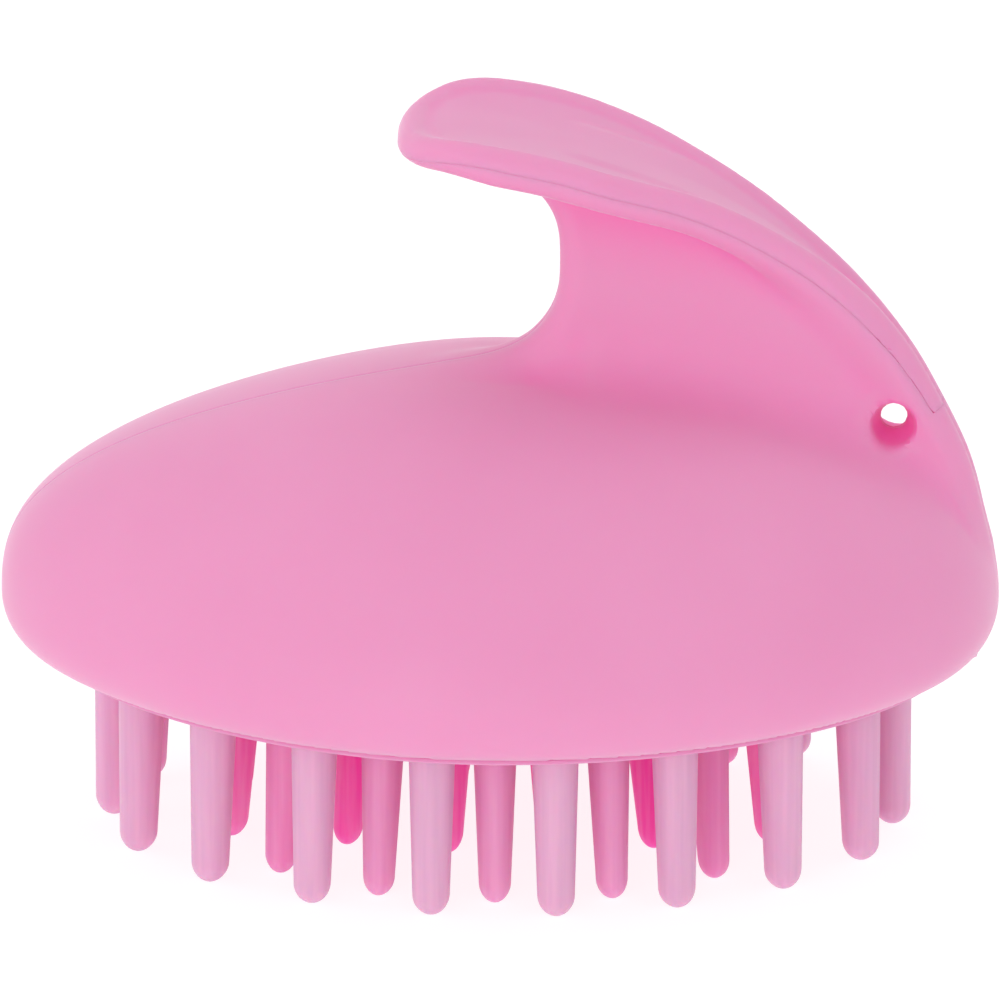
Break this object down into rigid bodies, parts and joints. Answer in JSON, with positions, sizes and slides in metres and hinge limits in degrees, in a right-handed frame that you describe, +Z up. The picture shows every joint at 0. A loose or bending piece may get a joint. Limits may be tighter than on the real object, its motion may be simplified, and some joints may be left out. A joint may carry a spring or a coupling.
{
  "type": "scalp massager brush",
  "caption": "Hand-held scalp massager: a domed grip with a curved finger flange and a hanging hole, over rings of soft tapered massage pins.",
  "frame": {"origin": "on the floor under the middle of the brush, at the height of the pin tips", "axes": "+X towards the end where the flange grows out of the dome and the hanging hole is, +Y to the far side of the symmetry plane, +Z up"},
  "size_m": [0.095, 0.0692, 0.0717],
  "materials": {
    "grip_plastic": "soft-touch pink, moulded",
    "plate_plastic": "moulded pink, fine satin",
    "pin_silicone": "soft pink silicone, satin",
    "screw_steel": "zinc plated"
  },
  "bodies": {
    "root": {"near_shell": "grip_plastic", "far_shell": "grip_plastic", "grip_cap": "grip_plastic", "base_plate": "plate_plastic", "pin_retainer": "plate_plastic", "cassette_screw_1": "screw_steel", "cassette_screw_2": "screw_steel", "cassette_screw_3": "screw_steel", "cassette_screw_4": "screw_steel"},
    "outer_pin_01": {"outer_pin_01": "pin_silicone"},
    "outer_pin_02": {"outer_pin_02": "pin_silicone"},
    "outer_pin_03": {"outer_pin_03": "pin_silicone"},
    "outer_pin_04": {"outer_pin_04": "pin_silicone"},
    "outer_pin_05": {"outer_pin_05": "pin_silicone"},
    "outer_pin_06": {"outer_pin_06": "pin_silicone"},
    "outer_pin_07": {"outer_pin_07": "pin_silicone"},
    "outer_pin_08": {"outer_pin_08": "pin_silicone"},
    "outer_pin_09": {"outer_pin_09": "pin_silicone"},
    "outer_pin_10": {"outer_pin_10": "pin_silicone"},
    "outer_pin_11": {"outer_pin_11": "pin_silicone"},
    "outer_pin_12": {"outer_pin_12": "pin_silicone"},
    "outer_pin_13": {"outer_pin_13": "pin_silicone"},
    "outer_pin_14": {"outer_pin_14": "pin_silicone"},
    "outer_pin_15": {"outer_pin_15": "pin_silicone"},
    "outer_pin_16": {"outer_pin_16": "pin_silicone"},
    "outer_pin_17": {"outer_pin_17": "pin_silicone"},
    "outer_pin_18": {"outer_pin_18": "pin_silicone"},
    "middle_pin_01": {"middle_pin_01": "pin_silicone"},
    "middle_pin_02": {"middle_pin_02": "pin_silicone"},
    "middle_pin_03": {"middle_pin_03": "pin_silicone"},
    "middle_pin_04": {"middle_pin_04": "pin_silicone"},
    "middle_pin_05": {"middle_pin_05": "pin_silicone"},
    "middle_pin_06": {"middle_pin_06": "pin_silicone"},
    "middle_pin_07": {"middle_pin_07": "pin_silicone"},
    "middle_pin_08": {"middle_pin_08": "pin_silicone"},
    "middle_pin_09": {"middle_pin_09": "pin_silicone"},
    "middle_pin_10": {"middle_pin_10": "pin_silicone"},
    "middle_pin_11": {"middle_pin_11": "pin_silicone"},
    "middle_pin_12": {"middle_pin_12": "pin_silicone"},
    "middle_pin_13": {"middle_pin_13": "pin_silicone"},
    "middle_pin_14": {"middle_pin_14": "pin_silicone"},
    "inner_pin_01": {"inner_pin_01": "pin_silicone"},
    "inner_pin_02": {"inner_pin_02": "pin_silicone"},
    "inner_pin_03": {"inner_pin_03": "pin_silicone"},
    "inner_pin_04": {"inner_pin_04": "pin_silicone"},
    "inner_pin_05": {"inner_pin_05": "pin_silicone"},
    "inner_pin_06": {"inner_pin_06": "pin_silicone"},
    "inner_pin_07": {"inner_pin_07": "pin_silicone"},
    "inner_pin_08": {"inner_pin_08": "pin_silicone"},
    "inner_pin_09": {"inner_pin_09": "pin_silicone"},
    "inner_pin_10": {"inner_pin_10": "pin_silicone"}
  },
  "joints": [
    {"name": "outer_pin_01_bend", "type": "hinge", "parent": "root", "child": "outer_pin_01", "pos_m": [0.00612, -0.02563, 0.01805], "axis": [0, 1, 0], "range_deg": [-10, 10], "stiffness_Nm_per_rad": 0.005},
    {"name": "outer_pin_02_bend", "type": "hinge", "parent": "root", "child": "outer_pin_02", "pos_m": [0.01732, -0.02301, 0.01805], "axis": [0, 1, 0], "range_deg": [-10, 10], "stiffness_Nm_per_rad": 0.005},
    {"name": "outer_pin_03_bend", "type": "hinge", "parent": "root", "child": "outer_pin_03", "pos_m": [0.02712, -0.01772, 0.01805], "axis": [0, 1, 0], "range_deg": [-10, 10], "stiffness_Nm_per_rad": 0.005},
    {"name": "outer_pin_04_bend", "type": "hinge", "parent": "root", "child": "outer_pin_04", "pos_m": [0.03423, -0.00984, 0.01805], "axis": [0, 1, 0], "range_deg": [-10, 10], "stiffness_Nm_per_rad": 0.005},
    {"name": "outer_pin_05_bend", "type": "hinge", "parent": "root", "child": "outer_pin_05", "pos_m": [0.03696, 0, 0.01805], "axis": [0, 1, 0], "range_deg": [-10, 10], "stiffness_Nm_per_rad": 0.005},
    {"name": "outer_pin_06_bend", "type": "hinge", "parent": "root", "child": "outer_pin_06", "pos_m": [0.03423, 0.00984, 0.01805], "axis": [0, 1, 0], "range_deg": [-10, 10], "stiffness_Nm_per_rad": 0.005},
    {"name": "outer_pin_07_bend", "type": "hinge", "parent": "root", "child": "outer_pin_07", "pos_m": [0.02712, 0.01772, 0.01805], "axis": [0, 1, 0], "range_deg": [-10, 10], "stiffness_Nm_per_rad": 0.005},
    {"name": "outer_pin_08_bend", "type": "hinge", "parent": "root", "child": "outer_pin_08", "pos_m": [0.01732, 0.02301, 0.01805], "axis": [0, 1, 0], "range_deg": [-10, 10], "stiffness_Nm_per_rad": 0.005},
    {"name": "outer_pin_09_bend", "type": "hinge", "parent": "root", "child": "outer_pin_09", "pos_m": [0.00612, 0.02563, 0.01805], "axis": [0, 1, 0], "range_deg": [-10, 10], "stiffness_Nm_per_rad": 0.005},
    {"name": "outer_pin_10_bend", "type": "hinge", "parent": "root", "child": "outer_pin_10", "pos_m": [-0.00553, 0.02563, 0.01805], "axis": [0, 1, 0], "range_deg": [-10, 10], "stiffness_Nm_per_rad": 0.005},
    {"name": "outer_pin_11_bend", "type": "hinge", "parent": "root", "child": "outer_pin_11", "pos_m": [-0.01673, 0.023, 0.01805], "axis": [0, 1, 0], "range_deg": [-10, 10], "stiffness_Nm_per_rad": 0.005},
    {"name": "outer_pin_12_bend", "type": "hinge", "parent": "root", "child": "outer_pin_12", "pos_m": [-0.02652, 0.01772, 0.01805], "axis": [0, 1, 0], "range_deg": [-10, 10], "stiffness_Nm_per_rad": 0.005},
    {"name": "outer_pin_13_bend", "type": "hinge", "parent": "root", "child": "outer_pin_13", "pos_m": [-0.03363, 0.00984, 0.01805], "axis": [0, 1, 0], "range_deg": [-10, 10], "stiffness_Nm_per_rad": 0.005},
    {"name": "outer_pin_14_bend", "type": "hinge", "parent": "root", "child": "outer_pin_14", "pos_m": [-0.03636, 0, 0.01805], "axis": [0, 1, 0], "range_deg": [-10, 10], "stiffness_Nm_per_rad": 0.005},
    {"name": "outer_pin_15_bend", "type": "hinge", "parent": "root", "child": "outer_pin_15", "pos_m": [-0.03363, -0.00984, 0.01805], "axis": [0, 1, 0], "range_deg": [-10, 10], "stiffness_Nm_per_rad": 0.005},
    {"name": "outer_pin_16_bend", "type": "hinge", "parent": "root", "child": "outer_pin_16", "pos_m": [-0.02652, -0.01772, 0.01805], "axis": [0, 1, 0], "range_deg": [-10, 10], "stiffness_Nm_per_rad": 0.005},
    {"name": "outer_pin_17_bend", "type": "hinge", "parent": "root", "child": "outer_pin_17", "pos_m": [-0.01673, -0.023, 0.01805], "axis": [0, 1, 0], "range_deg": [-10, 10], "stiffness_Nm_per_rad": 0.005},
    {"name": "outer_pin_18_bend", "type": "hinge", "parent": "root", "child": "outer_pin_18", "pos_m": [-0.00553, -0.02563, 0.01805], "axis": [0, 1, 0], "range_deg": [-10, 10], "stiffness_Nm_per_rad": 0.005},
    {"name": "middle_pin_01_bend", "type": "hinge", "parent": "root", "child": "middle_pin_01", "pos_m": [0.00029, -0.02167, 0.01805], "axis": [0, 1, 0], "range_deg": [-10, 10], "stiffness_Nm_per_rad": 0.005},
    {"name": "middle_pin_02_bend", "type": "hinge", "parent": "root", "child": "middle_pin_02", "pos_m": [0.0109, -0.02028, 0.01805], "axis": [0, 1, 0], "range_deg": [-10, 10], "stiffness_Nm_per_rad": 0.005},
    {"name": "middle_pin_03_bend", "type": "hinge", "parent": "root", "child": "middle_pin_03", "pos_m": [0.02006, -0.01481, 0.01805], "axis": [0, 1, 0], "range_deg": [-10, 10], "stiffness_Nm_per_rad": 0.005},
    {"name": "middle_pin_04_bend", "type": "hinge", "parent": "root", "child": "middle_pin_04", "pos_m": [0.02499, -0.00537, 0.01805], "axis": [0, 1, 0], "range_deg": [-10, 10], "stiffness_Nm_per_rad": 0.005},
    {"name": "middle_pin_05_bend", "type": "hinge", "parent": "root", "child": "middle_pin_05", "pos_m": [0.02499, 0.00537, 0.01805], "axis": [0, 1, 0], "range_deg": [-10, 10], "stiffness_Nm_per_rad": 0.005},
    {"name": "middle_pin_06_bend", "type": "hinge", "parent": "root", "child": "middle_pin_06", "pos_m": [0.02006, 0.01481, 0.01805], "axis": [0, 1, 0], "range_deg": [-10, 10], "stiffness_Nm_per_rad": 0.005},
    {"name": "middle_pin_07_bend", "type": "hinge", "parent": "root", "child": "middle_pin_07", "pos_m": [0.0109, 0.02028, 0.01805], "axis": [0, 1, 0], "range_deg": [-10, 10], "stiffness_Nm_per_rad": 0.005},
    {"name": "middle_pin_08_bend", "type": "hinge", "parent": "root", "child": "middle_pin_08", "pos_m": [0.00029, 0.02167, 0.01805], "axis": [0, 1, 0], "range_deg": [-10, 10], "stiffness_Nm_per_rad": 0.005},
    {"name": "middle_pin_09_bend", "type": "hinge", "parent": "root", "child": "middle_pin_09", "pos_m": [-0.01031, 0.02027, 0.01805], "axis": [0, 1, 0], "range_deg": [-10, 10], "stiffness_Nm_per_rad": 0.005},
    {"name": "middle_pin_10_bend", "type": "hinge", "parent": "root", "child": "middle_pin_10", "pos_m": [-0.01947, 0.01479, 0.01805], "axis": [0, 1, 0], "range_deg": [-10, 10], "stiffness_Nm_per_rad": 0.005},
    {"name": "middle_pin_11_bend", "type": "hinge", "parent": "root", "child": "middle_pin_11", "pos_m": [-0.02439, 0.00536, 0.01805], "axis": [0, 1, 0], "range_deg": [-10, 10], "stiffness_Nm_per_rad": 0.005},
    {"name": "middle_pin_12_bend", "type": "hinge", "parent": "root", "child": "middle_pin_12", "pos_m": [-0.02439, -0.00536, 0.01805], "axis": [0, 1, 0], "range_deg": [-10, 10], "stiffness_Nm_per_rad": 0.005},
    {"name": "middle_pin_13_bend", "type": "hinge", "parent": "root", "child": "middle_pin_13", "pos_m": [-0.01947, -0.01479, 0.01805], "axis": [0, 1, 0], "range_deg": [-10, 10], "stiffness_Nm_per_rad": 0.005},
    {"name": "middle_pin_14_bend", "type": "hinge", "parent": "root", "child": "middle_pin_14", "pos_m": [-0.01031, -0.02027, 0.01805], "axis": [0, 1, 0], "range_deg": [-10, 10], "stiffness_Nm_per_rad": 0.005},
    {"name": "inner_pin_01_bend", "type": "hinge", "parent": "root", "child": "inner_pin_01", "pos_m": [0.00454, -0.00821, 0.01805], "axis": [0, 1, 0], "range_deg": [-10, 10], "stiffness_Nm_per_rad": 0.005},
    {"name": "inner_pin_02_bend", "type": "hinge", "parent": "root", "child": "inner_pin_02", "pos_m": [0.01361, -0.00694, 0.01805], "axis": [0, 1, 0], "range_deg": [-10, 10], "stiffness_Nm_per_rad": 0.005},
    {"name": "inner_pin_03_bend", "type": "hinge", "parent": "root", "child": "inner_pin_03", "pos_m": [0.01863, 0, 0.01805], "axis": [0, 1, 0], "range_deg": [-10, 10], "stiffness_Nm_per_rad": 0.005},
    {"name": "inner_pin_04_bend", "type": "hinge", "parent": "root", "child": "inner_pin_04", "pos_m": [0.01361, 0.00694, 0.01805], "axis": [0, 1, 0], "range_deg": [-10, 10], "stiffness_Nm_per_rad": 0.005},
    {"name": "inner_pin_05_bend", "type": "hinge", "parent": "root", "child": "inner_pin_05", "pos_m": [0.00454, 0.00821, 0.01805], "axis": [0, 1, 0], "range_deg": [-10, 10], "stiffness_Nm_per_rad": 0.005},
    {"name": "inner_pin_06_bend", "type": "hinge", "parent": "root", "child": "inner_pin_06", "pos_m": [-0.004, 0.00818, 0.01805], "axis": [0, 1, 0], "range_deg": [-10, 10], "stiffness_Nm_per_rad": 0.005},
    {"name": "inner_pin_07_bend", "type": "hinge", "parent": "root", "child": "inner_pin_07", "pos_m": [-0.01302, 0.00692, 0.01805], "axis": [0, 1, 0], "range_deg": [-10, 10], "stiffness_Nm_per_rad": 0.005},
    {"name": "inner_pin_08_bend", "type": "hinge", "parent": "root", "child": "inner_pin_08", "pos_m": [-0.01803, 0, 0.01805], "axis": [0, 1, 0], "range_deg": [-10, 10], "stiffness_Nm_per_rad": 0.005},
    {"name": "inner_pin_09_bend", "type": "hinge", "parent": "root", "child": "inner_pin_09", "pos_m": [-0.01302, -0.00692, 0.01805], "axis": [0, 1, 0], "range_deg": [-10, 10], "stiffness_Nm_per_rad": 0.005},
    {"name": "inner_pin_10_bend", "type": "hinge", "parent": "root", "child": "inner_pin_10", "pos_m": [-0.004, -0.00818, 0.01805], "axis": [0, 1, 0], "range_deg": [-10, 10], "stiffness_Nm_per_rad": 0.005}
  ]
}
